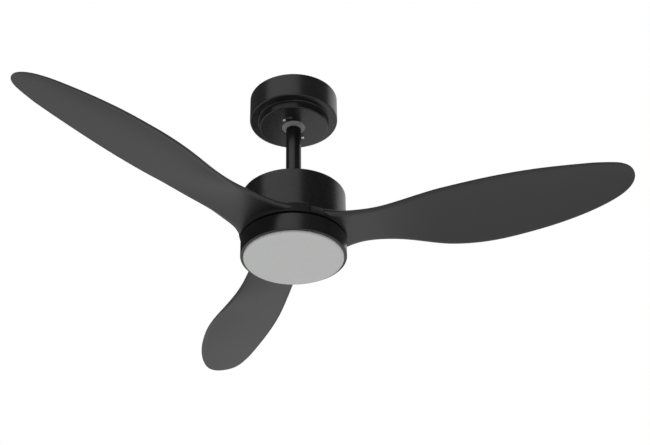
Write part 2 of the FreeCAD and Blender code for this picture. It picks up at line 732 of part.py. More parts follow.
# Height of the blade's line, as shares of its length and of its rise
BLADE_LINE = ((0.0, 0.03), (0.177, 0.05), (0.39, 0.0), (0.531, 0.15), (0.70, 0.43), (0.856, 0.68), (1.0, 1.0))
nose_behind = 0.677  # where the rounding of the nose begins, behind the blade's line
nose_ahead = 0.864
sweep_back = 8.0  # the line runs ahead by this much at the tip
pitch_from, pitch_to = 0.085, 0.40  # the blade twists over this stretch


def spline_through(points):
    curve = Part.BSplineCurve()
    curve.interpolate([V(x, y, 0) for x, y in points])
    return curve


PLAN_SCALE = 1000.0  # plan curves run along X in thousandths of the blade's length


def height_at(curve, x):
    """The curve's Y where it crosses X."""
    low, high = curve.FirstParameter, curve.LastParameter
    for _ in range(40):
        mid = (low + high) / 2
        if curve.value(mid).x < x:
            low = mid
        else:
            high = mid
    return curve.value((low + high) / 2).y


def smooth(t):
    t = min(max(t, 0.0), 1.0)
    return t * t * (3 - 2 * t)


def nose(share, start):
    along = max(0.0, (share - start) / (1 - start))
    return math.sqrt(max(0.0, 1 - along * along))


class BladeShape:
    """Widths, height, twist and thickness of the blade at a share of its length."""

    def __init__(self):
        self.x_root = blade_screw_r - root_in
        self.length = sweep_r - self.x_root
        half_chord = 0.94 * math.sqrt(ring_r**2 - self.x_root**2)
        root = (0.0, half_chord)
        behind = [(PLAN_SCALE * share, width * blade_chord) for share, width, _ in BLADE_PLAN]
        ahead = [(PLAN_SCALE * share, width * blade_chord) for share, _, width in BLADE_PLAN]
        self.behind = spline_through([root] + behind)
        self.ahead = spline_through([root] + ahead)
        self.line = spline_through([(PLAN_SCALE * share, blade_rise * rise) for share, rise in BLADE_LINE])

    def section(self, share, points=28):
        """Points round the blade at one place along it, the last on top of the first."""
        x = self.x_root + share * self.length
        line = -sweep_back * max(0.0, (share - 0.177) / 0.823) ** 2
        y_behind = line + height_at(self.behind, PLAN_SCALE * share) * nose(share, nose_behind)
        y_ahead = line - height_at(self.ahead, PLAN_SCALE * share) * nose(share, nose_ahead)
        middle, half = (y_behind + y_ahead) / 2, (y_behind - y_ahead) / 2
        slope = math.tan(math.radians(blade_pitch * smooth((share - pitch_from) / (pitch_to - pitch_from))))
        z_mid = z_ring_top - blade_sag + height_at(self.line, PLAN_SCALE * share)
        thick = blade_root_t + (blade_tip_t - blade_root_t) * share
        thick += root_flare * max(0.0, 1 - share / root_flare_to) ** 2
        thick *= 0.3 + 0.7 * nose(share, nose_ahead)
        camber = blade_camber * smooth(share / pitch_to) * 2 * half / blade_chord
        loop = []
        for k in range(points + 1):
            angle = 2 * math.pi * (k % points) / points
            across, up = math.cos(angle), math.sin(angle)
            skin = math.copysign(abs(up) ** 0.75, up) * thick / 2
            z = z_mid - half * across * slope + camber * (1 - across**2) + skin
            loop.append(V(x, middle + half * across, z))
        return loop

    def outline(self, share):
        """The section as a closed wire: one curve over the top, one underneath."""
        loop = self.section(share)
        half = len(loop) // 2
        evenly = [k / half for k in range(half + 1)]
        curves = []
        for points in (loop[: half + 1], loop[half:]):
            curve = Part.BSplineCurve()
            curve.interpolate(Points=points, Parameters=evenly)
            curves.append(curve.toShape())
        return Part.Wire(curves)

    def solid(self):
        """The skin through every section, closed at the root and at the tip."""
        shares = [0.0, 0.03, 0.06, 0.09, 0.12, 0.16, 0.2, 0.25, 0.31, 0.38, 0.46, 0.54, 0.62]
        shares += [0.69, 0.75, 0.80, 0.845, 0.885, 0.918, 0.945, 0.966, 0.982, 0.993, 0.9985]
        return Part.makeLoft([self.outline(share) for share in shares], True, False)


def ring_radius(z):
    """Outer radius of the ring at a height."""
    return ring_r - (z_ring_top - z) * math.tan(math.radians(ring_taper))


def raised_end():
    """What is cut off a lip's raised end: its top corner, and an upright chamfer down its outside."""
    back = -seam_gap / 2
    reach = ring_r * math.sin(math.pi / blade_count)
    top = z_ring_top + reach * math.tan(math.radians(ring_rake))
    corner = block(lip_r - 2, ring_r + 4, back - corner_r, back + 1, top - corner_r, top + 2)
    corner = corner.cut(rod_along(corner_r, V(lip_r - 3, back - corner_r, top - corner_r), V(1, 0, 0), 12))
    depth, run = corner_cut
    chamfer = block(0, 10, -20, 20, -20, 20)
    chamfer.rotate(V(0, 0, 0), V(0, 0, 1), math.degrees(math.atan2(depth, run)))
    chamfer.translate(V(ring_r, back - run, z_ring_top))
    return corner, chamfer


def hub_sector():
    """A third of the hub ring: its plate, its tapered rim, and a raked lip round the housing."""
    top = z_ring_top + 9
    profile = [(ring_plate_r - 2, z_ring_low), (ring_radius(z_ring_low), z_ring_low), (ring_radius(top), top)]
    profile += [(lip_r, top), (lip_r, z_shelf), (ring_plate_r - 2, z_shelf)]
    rake = block(-200, 200, -200, 200, 0, 50)
    rake.rotate(V(0, 0, 0), V(1, 0, 0), ring_rake)
    rake.translate(V(0, 0, z_ring_top))
    plate = tube(ring_plate_r, ring_bore_r, z_ring_top - ring_plate_t, z_ring_top)
    return plate.fuse(revolved(profile).cut(rake))


def blade():
    """One blade pointing along +X, moulded in one piece with its third of the hub ring."""
    clear = cylinder(lip_r, z_shelf, z_ring_top + 20)
    clear = clear.cut(cylinder(ring_plate_r, z_shelf - 1, z_ring_top))
    wing = BladeShape().solid().cut(clear)
    half_angle = 180.0 / blade_count
    root = hub_sector().common(wedge(ring_r + 10, z_ring_low - 5, z_ring_top + 12, half_angle, seam_turn))
    for side in (-1, 1):  # open the seam to the next blade
        seam = block(0, 200, -seam_gap / 2, seam_gap / 2, z_ring_low - 5, z_ring_top + 12)
        root = root.cut(turned(seam, side * half_angle + seam_turn))
    for waste in raised_end():
        root = root.cut(turned(waste, half_angle + seam_turn))
    body = root.fuse(wing).Solids[0]
    for turn in blade_screws_at:
        x, y = polar(blade_screw_r, turn)
        body = body.cut(cylinder(blade_screw_shank + 0.2, z_ring_low - 9, z_ring_top + 9, x, y))
        body = body.cut(cylinder(4.5, z_ring_low - 9, z_ring_top - ring_plate_t, x, y))
    return body


def blade_screws():
    face = z_ring_top - ring_plate_t
    length = ring_plate_t + rotor_plate + 1.0
    screws = []
    for at in blade_directions:
        for turn in blade_screws_at:
            x, y = polar(blade_screw_r, at + turn)
            screws.append(pan_screw(x, y, face, blade_screw_shank - run_fit, length))
    return screws


# ---------------------------------------------------------------- light kit
light_screw_r = 1.5
light_screw_places = [polar(light_r - light_screw_in, 90 + 120 * k) for k in range(3)]
standoff_places = [polar(standoff_at_r, 30 + 120 * k) for k in range(3)]
tray_screw_r = 1.5
flange_low = z_base_low - light_wall


def light_base_plate():
    """Steel plate on the shaft's end that carries the light kit."""
    plate = cylinder(light_r - light_wall - gap, z_base_low, z_base_top).cut(
        cylinder(shaft_r, z_base_low - 1, z_base_top + 1))
    for x, y in light_screw_places:
        plate = plate.cut(cylinder(light_screw_r, z_base_low - 1, z_base_top + 1, x, y))
    for x, y in [polar(40.0, 60 * k) for k in range(6)]:  # vents over the driver
        plate = plate.cut(cylinder(5.0, z_base_low - 1, z_base_top + 1, x, y))
    return plate


def hex_nut(z_low, thick, across):
    points = [V(*polar(across, 60 * k), z_low) for k in range(7)]
    return Part.Face(Part.makePolygon(points)).extrude(V(0, 0, thick)).cut(
        cylinder(shaft_r, z_low - 1, z_low + thick + 1))


def shaft_nuts():
    """The base plate is gripped between these two."""
    across = shaft_r + nut_out
    return [hex_nut(z_base_top, 4.5, across), hex_nut(z_base_low - nut_t, nut_t, across)]


def light_housing():
    """Black ring round the light, with a flange for its screws and a lip round the lens."""
    inner = light_r - light_wall
    body = rounded(cylinder(light_r, z_light_low, z_light_top), 1.2, [(light_r, z_light_low)])
    body = rounded(body, light_top_edge, [(light_r, z_light_top)])
    body = body.cut(cylinder(inner, z_base_low, z_light_top + 1))
    body = body.cut(cylinder(inner, z_light_low + lip_h, flange_low))
    body = body.cut(cylinder(lens_r + gap, z_light_low - 1, z_light_low + lip_h + 1))
    body = body.cut(cylinder(flange_bore_r, flange_low - 1, z_base_low + 1))
    for x, y in light_screw_places:
        body = body.cut(cylinder(light_screw_r + 0.2, flange_low - 1, z_base_low + 1, x, y))
    return body


def light_housing_screws():
    places = light_screw_places
    shank, length = light_screw_r - run_fit / 2, light_wall + base_t + 1
    return [pan_screw(x, y, flange_low, shank, length) for x, y in places]


def standoffs():
    """Posts between the base plate and the LED tray."""
    return [tube(3.3, tray_screw_r, z_tray_top, z_base_low, x, y) for x, y in standoff_places]


def led_tray():
    """White pan that carries the LED board, with tabs that hold the lens's lugs."""
    tray_r = lens_r - lens_wall - 3.5
    tray = cylinder(tray_r, z_tray_low, z_tray_top)
    tab_r = lens_r - lens_wall - 0.6
    for k in range(lens_lugs):
        at = 45.0 + 360.0 * k / lens_lugs
        tab = cylinder(tab_r, z_tray_low, z_tray_top)
        tray = tray.fuse(tab.common(wedge(tab_r + 5, z_tray_low - 1, z_tray_top + 1, 0.9 * lug_angle, at)))
    for x, y in standoff_places:
        tray = tray.cut(cylinder(tray_screw_r + 0.2, z_tray_low - 1, z_tray_top + 1, x, y))
    return tray.cut(cylinder(6.0, z_tray_low - 1, z_tray_top + 1)).removeSplitter()


def tray_screws():
    length = tray_t + 6
    shank = tray_screw_r - run_fit / 2
    return [pan_screw(x, y, z_tray_low, shank, length) for x, y in standoff_places]


led_board_t = 1.6


def led_board():
    return tube(led_board_r, 8.0, z_tray_low - led_board_t, z_tray_low)


def led_chips():
    """LED packages on the underside of the board, in three rings."""
    face = z_tray_low - led_board_t
    chips = []
    for inset, count in led_rings:
        radius = led_board_r - inset
        chip = block(radius - 1.4, radius + 1.4, -1.75, 1.75, face - 0.8, face)
        chips += around(chip, count)
    return chips


driver_x = (shaft_r + driver_at[0], shaft_r + driver_at[1])
driver_half_y = 22.0


def led_driver():
    """Slim constant-current supply on the tray, with lead outlets at its ends."""
    top = z_base_low - 1.0
    body = block(driver_x[0], driver_x[1], -driver_half_y, driver_half_y, z_tray_top, top)
    body = body.makeFillet(2.0, [e for e in body.Edges if abs(e.tangentAt(0).z) > 0.9])
    for side in (-1, 1):
        start = V(driver_x[0] + 7.5, side * (driver_half_y - 4), (z_tray_top + top) / 2)
        body = body.cut(rod_along(2.0, start, V(0, side, 0), 8))
    return body


def lens():
    """Opal cup with a rounded edge, and lugs inside its wall that catch the tray's tabs."""
    top = z_tray_top + 2.7
    cup = rounded(cylinder(lens_r, z_lens_low, top), 2.6, [(lens_r, z_lens_low)])
    hollow = rounded(cylinder(lens_r - lens_wall, z_lens_low + lens_t, top + 1), 1.2,
                     [(lens_r - lens_wall, z_lens_low + lens_t)])
    cup = cup.cut(hollow)
    lug_ring = tube(lens_r - lens_wall + 0.5, lens_r - lens_wall - 2.8, z_tray_top + 0.2, top)
    for k in range(lens_lugs):
        at = 45.0 + 360.0 * k / lens_lugs
        cup = cup.fuse(lug_ring.common(wedge(lens_r, z_tray_top, top, lug_angle / 2, at)))
    return cup.removeSplitter()


# ---------------------------------------------------------------- wiring inside the rod
loom_r = 2.4
loom_x_shaft = 2.5
loom_x_rod = 6.2  # clears the ball pin and the clevis pin
z_loom_top = z_rod_top + 3.0
plug_h = 7.0


def bent_path(points):
    """Straight runs through the points, joined by arcs tangent to both."""
    edges = []
    start = points[0]
    for before, corner, after in zip(points, points[1:], points[2:]):
        back, on = (before - corner).normalize(), (after - corner).normalize()
        reach = 0.45 * min((before - corner).Length, (after - corner).Length)
        first, last = corner + back * reach, corner + on * reach
        half_turn = (math.pi - back.getAngle(on)) / 2
        radius = reach / math.tan(half_turn)
        middle = corner + (back + on).normalize() * (radius / math.cos(half_turn) - radius)
        edges += [Part.LineSegment(start, first).toShape(), Part.Arc(first, middle, last).toShape()]
        start = last
    return Part.Wire(edges + [Part.LineSegment(start, points[-1]).toShape()])


def wire_loom():
    """Sleeved leads from the light up through the shaft, past the pins and out of the rod's top."""
    points = [V(loom_x_shaft, 0, z_shaft_low - 1), V(loom_x_shaft, 0, z_yoke_seat - 2)]
    points += [V(loom_x_rod, 0, z_yoke_seat + 8), V(loom_x_rod, 0, z_loom_top)]
    section = Part.Wire(Part.makeCircle(loom_r, points[0], V(0, 0, 1)))
    return bent_path(points).makePipeShell([section], True, False)


def loom_grommets():
    """Rubber rings that hold the loom at the shaft's lower end and at the rod's top."""
    low = cylinder(shaft_bore_r, z_shaft_low, z_shaft_low + 5)
    low = low.cut(cylinder(loom_r, z_shaft_low - 1, z_shaft_low + 6, loom_x_shaft))
    top = cylinder(rod_r - rod_wall, z_rod_top - 5, z_rod_top)
    return [low, top.cut(cylinder(loom_r, z_rod_top - 6, z_rod_top + 1, loom_x_rod))]


def loom_plug():
    """Four-way connector half on top of the loom."""
    x = loom_x_rod
    body = block(x - 4, x + 4, -6, 6, z_loom_top, z_loom_top + plug_h)
    for y in (-4.2, -1.4, 1.4, 4.2):
        body = body.cut(block(x - 2.5, x + 2.5, y - 0.9, y + 0.9, z_loom_top + 2, z_loom_top + plug_h + 1))
    return body


# ---------------------------------------------------------------- write every node
def main():
    write("hanger_bracket", hanger_bracket())
    write("canopy", canopy())
    write("canopy_screws", canopy_screws())
    write("receiver_case", receiver_case())
    write("receiver_lid", receiver_lid())
    write("receiver_board", receiver_board())
    write("receiver_screws", [countersunk(x, y) for x, y in receiver_screw_places])
    write("terminal_block", terminal_block())
    write("terminal_clamps", terminal_clamps())
    write("terminal_screw", terminal_screw())
    write("ground_screw", pan_screw(*ground_screw_place, -plate_t, ground_screw_r - run_fit, plate_t - 0.2))
    write("hanger_ball", hanger_ball())
    write("ball_pin", ball_pin())
    write("ball_set_screw", ball_set_screw())
    write("downrod", downrod())
    write("yoke", yoke())
    write("clevis_pin", clevis_pin())
    write("cotter_clip", cotter_clip())
    write("yoke_set_screws", yoke_set_screws())
    write("upper_housing", upper_housing())
    write("housing_screws", housing_screws())
    write("motor_shaft", motor_shaft())
    write("stator_hub", stator_hub())
    write("stator_core", stator_core())
    write("coil_bobbins", coil_bobbins())
    write("stator_windings", stator_windings())
    for name, z_mid in z_bearings.items():
        write(f"{name}_bearing_inner_race", inner_race(z_mid))
        write(f"{name}_bearing_outer_race", outer_race(z_mid))
        write(f"{name}_bearing_balls", bearing_ball_set(z_mid))
        write(f"{name}_bearing_cage", bearing_cage(z_mid))
    write("rotor_upper_shell", rotor_upper_shell())
    write("rotor_lower_shell", rotor_lower_shell())
    write("rotor_shell_screws", rotor_shell_screws())
    write("magnets", magnets())
    one_blade = blade()
    for letter, at in zip("abc", blade_directions):
        write(f"blade_{letter}", turned(one_blade, at))
    write("blade_screws", blade_screws())
    write("light_base_plate", light_base_plate())
    write("shaft_nuts", shaft_nuts())
    write("light_housing", light_housing())
    write("light_housing_screws", light_housing_screws())
    write("standoffs", standoffs())
    write("led_tray", led_tray())
    write("tray_screws", tray_screws())
    write("led_board", led_board())
    write("led_chips", led_chips())
    write("led_driver", led_driver())
    write("lens", lens())
    write("wire_loom", wire_loom())
    write("loom_grommets", loom_grommets())
    write("loom_plug", loom_plug())


main()
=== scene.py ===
# %% [markdown]
# # A black ceiling fan with a round light
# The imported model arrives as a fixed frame: every mechanical piece is already at its real size and place,
# and each one rides on the body it moves with. This lesson adds what makes it look real. Some pieces keep
# their exact mechanical shape and only get a finish. The blades are modelled again as smooth surfaces,
# because a moulded blade is judged by how light runs along it.

import json
import math

import bmesh
import bpy
import numpy as np
from mathutils import Matrix, Vector


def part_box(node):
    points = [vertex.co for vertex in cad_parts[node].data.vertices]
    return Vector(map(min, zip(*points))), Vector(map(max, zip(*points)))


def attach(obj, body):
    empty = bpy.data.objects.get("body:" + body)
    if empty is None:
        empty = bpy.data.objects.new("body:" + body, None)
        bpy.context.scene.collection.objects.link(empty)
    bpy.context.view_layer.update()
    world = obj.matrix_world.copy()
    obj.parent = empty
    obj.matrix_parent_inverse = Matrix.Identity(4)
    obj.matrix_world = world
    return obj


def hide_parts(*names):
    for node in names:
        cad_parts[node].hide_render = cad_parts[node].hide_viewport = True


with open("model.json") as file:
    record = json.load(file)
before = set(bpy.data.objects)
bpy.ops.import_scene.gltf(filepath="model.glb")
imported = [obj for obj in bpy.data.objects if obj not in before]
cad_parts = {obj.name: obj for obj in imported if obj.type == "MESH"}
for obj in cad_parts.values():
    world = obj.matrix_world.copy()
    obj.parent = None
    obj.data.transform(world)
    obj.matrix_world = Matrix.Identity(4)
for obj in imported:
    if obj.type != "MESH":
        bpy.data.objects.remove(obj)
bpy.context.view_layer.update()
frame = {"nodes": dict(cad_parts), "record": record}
nodes = frame["nodes"]

# %% [markdown]
# ## Sizes that later steps need
# Heights and radii are read from the mechanical pieces instead of being typed in again, so the looks
# follow the model if a size is changed.

# %% Read the sizes
MM = 0.001


def low(node):
    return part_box(node)[0]


def high(node):
    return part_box(node)[1]


ceiling_z = high("hanger_bracket")[2]
lens_z = low("lens")[2]
print("ceiling", ceiling_z, "lens", round(lens_z, 4))

# %% [markdown]
# ## Grain for painted and moulded black
# Satin black is never one flat grey. Powder coat has a faint orange peel, and a mould leaves an even
# spark-eroded grain. Both are the same idea, noise at two sizes turned into a bump, so one node group
# makes them. It only outputs a normal and a mask: the shader itself stays in each material.

# %% Surface grain group


def socket(tree, name, kind, way="INPUT", value=None):
    made = tree.interface.new_socket(name=name, in_out=way, socket_type=kind)
    if value is not None:
        made.default_value = value
    return made


def node(tree, kind, **settings):
    made = tree.nodes.new(kind)
    for key, value in settings.items():
        setattr(made, key, value)
    return made


def grain_group():
    tree = bpy.data.node_groups.new("surface grain", "ShaderNodeTree")
    socket(tree, "Vector", "NodeSocketVector")
    socket(tree, "Fine scale", "NodeSocketFloat", value=1800.0)
    socket(tree, "Broad scale", "NodeSocketFloat", value=220.0)
    socket(tree, "Fine share", "NodeSocketFloat", value=0.6)
    socket(tree, "Strength", "NodeSocketFloat", value=0.1)
    socket(tree, "Height", "NodeSocketFloat", value=0.0001)
    socket(tree, "Normal", "NodeSocketVector", "OUTPUT")
    socket(tree, "Mask", "NodeSocketFloat", "OUTPUT")
    start, end = node(tree, "NodeGroupInput"), node(tree, "NodeGroupOutput")
    fine = node(tree, "ShaderNodeTexNoise", noise_dimensions="3D")
    broad = node(tree, "ShaderNodeTexNoise", noise_dimensions="3D")
    mix = node(tree, "ShaderNodeMix", data_type="FLOAT")
    bump = node(tree, "ShaderNodeBump")
    fine.inputs["Detail"].default_value = 2.0
    broad.inputs["Detail"].default_value = 4.0
    link = tree.links.new
    link(start.outputs["Vector"], fine.inputs["Vector"])
    link(start.outputs["Vector"], broad.inputs["Vector"])
    link(start.outputs["Fine scale"], fine.inputs["Scale"])
    link(start.outputs["Broad scale"], broad.inputs["Scale"])
    link(start.outputs["Fine share"], mix.inputs["Factor"])
    link(broad.outputs["Fac"], mix.inputs["A"])
    link(fine.outputs["Fac"], mix.inputs["B"])
    link(mix.outputs["Result"], bump.inputs["Height"])
    link(start.outputs["Strength"], bump.inputs["Strength"])
    link(start.outputs["Height"], bump.inputs["Distance"])
    link(bump.outputs["Normal"], end.inputs["Normal"])
    link(broad.outputs["Fac"], end.inputs["Mask"])
    return tree


grain = grain_group()
print("group", grain.name, [s.name for s in grain.interface.items_tree])

# %% [markdown]
# ## One helper for grained materials
# Most finishes here are a Principled shader with a base colour that drifts slightly, a roughness that
# drifts with it, and the grain bump. What differs is the scale and the amount, so the helper takes those
# and each finish below is a short recipe. Coat, sheen and other constants are set on the shader's own
# sockets.

# %% Grained material helper


def grained(name, light, dark, rough, grain_scales=(1800.0, 220.0), fine_share=0.6, strength=0.1,
            height=0.0001, rough_drift=0.06, stretch=(1.0, 1.0, 1.0), **constants):
    made = bpy.data.materials.new(name)
    made.use_nodes = True
    tree = made.node_tree
    link = tree.links.new
    shader = tree.nodes["Principled BSDF"]
    place = node(tree, "ShaderNodeTexCoord")
    mapping = node(tree, "ShaderNodeMapping")
    mapping.inputs["Scale"].default_value = stretch
    texture = node(tree, "ShaderNodeGroup", node_tree=grain)
    for key, value in (("Fine scale", grain_scales[0]), ("Broad scale", grain_scales[1]),
                       ("Fine share", fine_share), ("Strength", strength), ("Height", height)):
        texture.inputs[key].default_value = value
    tone = node(tree, "ShaderNodeMix", data_type="RGBA")
    tone.inputs["A"].default_value = (*dark, 1.0)
    tone.inputs["B"].default_value = (*light, 1.0)
    spread = node(tree, "ShaderNodeMapRange")
    spread.inputs["From Min"].default_value = 0.3
    spread.inputs["From Max"].default_value = 0.7
    spread.inputs["To Min"].default_value = rough - rough_drift
    spread.inputs["To Max"].default_value = rough + rough_drift
    link(place.outputs["Object"], mapping.inputs["Vector"])
    link(mapping.outputs["Vector"], texture.inputs["Vector"])
    link(texture.outputs["Mask"], tone.inputs["Factor"])
    link(texture.outputs["Mask"], spread.inputs["Value"])
    link(tone.outputs["Result"], shader.inputs["Base Color"])
    link(spread.outputs["Result"], shader.inputs["Roughness"])
    link(texture.outputs["Normal"], shader.inputs["Normal"])
    for key, value in constants.items():
        shader.inputs[key.replace("_", " ")].default_value = value
    return made


def grey(value, tint=(1.0, 1.0, 1.0)):
    return tuple(value * t for t in tint)


# %% [markdown]
# ## The finishes
# Black powder coat on the steel, a slightly softer black on the moulded blades and light ring, and an
# opal white for the lens. The rest are workshop finishes: zinc plate, nickel, cast alloy, copper wire,
# stacked laminations and the board materials.

# %% Make every finish
finishes = {
    "black_steel": grained("black powder coat", grey(0.007), grey(0.005), 0.30, (900.0, 160.0), 0.5,
                           0.06, 0.0001, 0.03),
    "black_plastic": grained("black moulded blade", grey(0.008), grey(0.0065), 0.32, (2600.0, 160.0), 0.9,
                             0.05, 0.00003, 0.012),
    "zinc_steel": grained("zinc plate", (0.62, 0.62, 0.58), (0.48, 0.49, 0.47), 0.36, (700.0, 60.0), 0.4,
                          0.10, 0.00006, Metallic=1.0),
    "bright_screw": grained("nickel plate", (0.86, 0.85, 0.83), (0.74, 0.74, 0.73), 0.22, (900.0, 120.0),
                            0.4, 0.08, 0.00004, Metallic=1.0),
    "grey_polymer": grained("grey ball polymer", grey(0.20), grey(0.16), 0.38, (1500.0, 140.0), 0.6, 0.10,
                            0.0001),
    "white_plastic": grained("white moulding", (0.80, 0.80, 0.77), (0.72, 0.72, 0.69), 0.42,
                             (2200.0, 120.0), 0.7, 0.10, 0.0001),
    "cast_alloy": grained("cast alloy", (0.63, 0.64, 0.65), (0.50, 0.51, 0.52), 0.5, (500.0, 90.0), 0.6,
                          0.3, 0.0003, Metallic=1.0),
    "lamination": grained("stacked laminations", (0.34, 0.33, 0.32), (0.16, 0.16, 0.16), 0.45,
                          (400.0, 300.0), 0.2, 0.4, 0.0002, stretch=(0.05, 0.05, 6.0), Metallic=1.0),
    "copper": grained("enamelled copper wire", (0.80, 0.36, 0.16), (0.55, 0.20, 0.08), 0.28,
                      (900.0, 200.0), 0.5, 0.2, 0.0002, Metallic=1.0, Coat_Weight=0.6),
    "magnet": grained("ferrite magnet", grey(0.055), grey(0.04), 0.55, (1200.0, 200.0), 0.5, 0.2, 0.0002),
    "bearing_steel": grained("ground bearing steel", grey(0.78), grey(0.66), 0.16, (600.0, 80.0), 0.4,
                             0.05, 0.00003, stretch=(1.0, 1.0, 8.0), Metallic=1.0),
    "cage_brass": grained("pressed brass", (0.82, 0.62, 0.28), (0.66, 0.47, 0.19), 0.3, (800.0, 100.0),
                          0.4, 0.1, 0.0001, Metallic=1.0),
    "board_green": grained("green circuit board", (0.03, 0.20, 0.08), (0.015, 0.12, 0.045), 0.32,
                           (700.0, 260.0), 0.4, 0.25, 0.0002),
    "board_white": grained("white circuit board", grey(0.84), grey(0.76), 0.34, (700.0, 260.0), 0.4, 0.15,
                           0.0001),
    "led_yellow": grained("phosphor", (0.90, 0.74, 0.22), (0.80, 0.62, 0.14), 0.25, (3000.0, 500.0), 0.5,
                          0.1, 0.0001),
    "white_paint": grained("white powder coat", grey(0.84), grey(0.78), 0.4, (900.0, 160.0), 0.5, 0.15,
                           0.0002),
    "opal": grained("frosted opal", grey(0.50), grey(0.485), 0.62, (2400.0, 60.0), 0.7, 0.06, 0.00008,
                    Subsurface_Weight=0.2, Subsurface_Scale=0.004),
    "loom_sleeve": grained("braided sleeve", grey(0.03), grey(0.012), 0.6, (1400.0, 700.0), 0.5, 0.6,
                           0.0004),
    "rubber_black": grained("black rubber", grey(0.025), grey(0.018), 0.65, (1500.0, 200.0), 0.6, 0.2,
                            0.0002),
}
print(len(finishes), "finishes")

# %% [markdown]
# ## Give each mechanical piece its finish
# The record says which slot each piece belongs to, so one loop dresses them all.

# %% Dress the mechanical pieces
slot_of = {row["node"]: row["material_slot"] for row in frame["record"]["subparts"]}
for name, obj in nodes.items():
    obj.data.materials.clear()
    obj.data.materials.append(finishes[slot_of[name]])
print("dressed", len(slot_of), "pieces")

# %% [markdown]
# ## Meshes made in code
# These helpers serve every piece below. One turns rows of points into a skin of quads, one spins a
# profile round an axis, and one cuts or joins two closed meshes. A boolean needs closed meshes whose faces
# point outwards, so a finishing step recalculates the normals. The last helper puts a mesh on its body.

# %% Mesh helpers


def finished(mesh, sharp_above=35.0):
    """Merge doubles, point faces outwards, and shade smooth except over real edges."""
    work = bmesh.new()
    work.from_mesh(mesh)
    bmesh.ops.remove_doubles(work, verts=work.verts, dist=1e-6)
    bmesh.ops.recalc_face_normals(work, faces=work.faces)
    work.to_mesh(mesh)
    work.free()
    mesh.shade_smooth()
    mesh.set_sharp_from_angle(angle=math.radians(sharp_above))
    return mesh


def skin(name, rings, closed_rows=False):
    """Quads between closed rings of points; the first and last ring are capped unless the rows close too."""
    count, around = len(rings), len(rings[0])
    faces = []
    for row in range(count if closed_rows else count - 1):
        for k in range(around):
            near, far = row * around, (row + 1) % count * around
            after = (k + 1) % around
            faces.append((near + k, near + after, far + after, far + k))
    if not closed_rows:
        faces += [tuple(range(around)), tuple(range((count - 1) * around, count * around))]
    mesh = bpy.data.meshes.new(name)
    mesh.from_pydata([tuple(point) for ring in rings for point in ring], [], faces)
    return finished(mesh)


def lathed(name, profile, steps=48, centre=(0.0, 0.0)):
    """A closed profile of (radius, z) corners spun round an upright axis; corners on it become poles."""
    rings = []
    for k in range(steps):
        turn = 2 * math.pi * k / steps
        across, along = math.cos(turn), math.sin(turn)
        rings.append([(centre[0] + r * across, centre[1] + r * along, z) for r, z in profile])
    return skin(name, rings, closed_rows=True)


def combined(mesh, other, operation):
    """The exact boolean of two closed meshes as a plain mesh."""
    base, tool = (bpy.data.objects.new("work", each) for each in (mesh, other))
    for obj in (base, tool):
        bpy.context.scene.collection.objects.link(obj)
    step = base.modifiers.new("step", "BOOLEAN")
    step.operation, step.solver, step.object = operation, "EXACT", tool
    made = bpy.data.meshes.new_from_object(base.evaluated_get(bpy.context.evaluated_depsgraph_get()))
    bpy.data.objects.remove(base)
    bpy.data.objects.remove(tool)
    return made


def placed(name, mesh, body, slot, *replaced):
    """Put a finished mesh on a body, in a finish, in place of the mechanical pieces it stands for."""
    obj = bpy.data.objects.new(name, mesh)
    bpy.context.scene.collection.objects.link(obj)
    mesh.materials.clear()
    mesh.materials.append(finishes[slot])
    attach(obj, body)
    if replaced:
        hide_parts(*replaced)
    return obj


# %% [markdown]
# ## The blade's skin
# A moulded blade is judged by how one long soft highlight runs along it, so it can't be a triangle mesh
# cut up by a CAD exporter. It is drawn here as rings of points round the blade, a few millimetres apart,
# from the same rules as the mechanical blade: a plan with a width behind and ahead of a line, a height
# line, a twist, a thickness, and a slight dish. The edges are full rounds, which is what draws the dark
# line along the blade's upper edge. A natural cubic passes through the few plan points, because it bends
# as evenly as a spring-steel batten.

# %% Blade rules
z_plate = low("rotor_lower_shell")[2]
z_rim = low("upper_housing")[2]
housing_r = high("upper_housing")[0]
ring_low_z = high("light_housing")[2] + 3.1 * MM
lip_r = housing_r + 0.6 * MM
ring_r = lip_r + 2.8 * MM
shelf_z = z_rim - 1.2 * MM
plate_r = housing_r - 6.6 * MM
screw_r = plate_r - 18.0 * MM
root_x = screw_r - 5.0 * MM
sweep_r = 536.0 * MM
chord = 127.0 * MM
line_back = 8.0 * MM  # how far the middle line falls back at the tip
pitch = math.radians(14.8)
dish = 3.0 * MM
sag = 3.7 * MM  # from the ring's plate down to the blade's middle
tip_rise = 20.8 * MM
root_thick, tip_thinner, root_swell = 7.5, 3.9, 7.5  # in millimetres
ring_taper, ring_rake = math.radians(15.0), math.radians(1.6)
seam_turn = math.radians(2.2)
blade_plan = (  # share of the length, width behind and ahead of the line as shares of the chord
    (0.058, 0.395, 0.394), (0.119, 0.342, 0.350), (0.177, 0.337, 0.332), (0.248, 0.360, 0.352),
    (0.389, 0.487, 0.407), (0.531, 0.564, 0.430), (0.698, 0.531, 0.402), (0.856, 0.488, 0.326),
    (0.927, 0.488, 0.300), (1.000, 0.520, 0.345))
blade_rise = (  # share of the length, height as a share of the rise
    (0.0, 0.03), (0.177, 0.05), (0.39, 0.0), (0.531, 0.15), (0.70, 0.43), (0.856, 0.68), (1.0, 1.0))


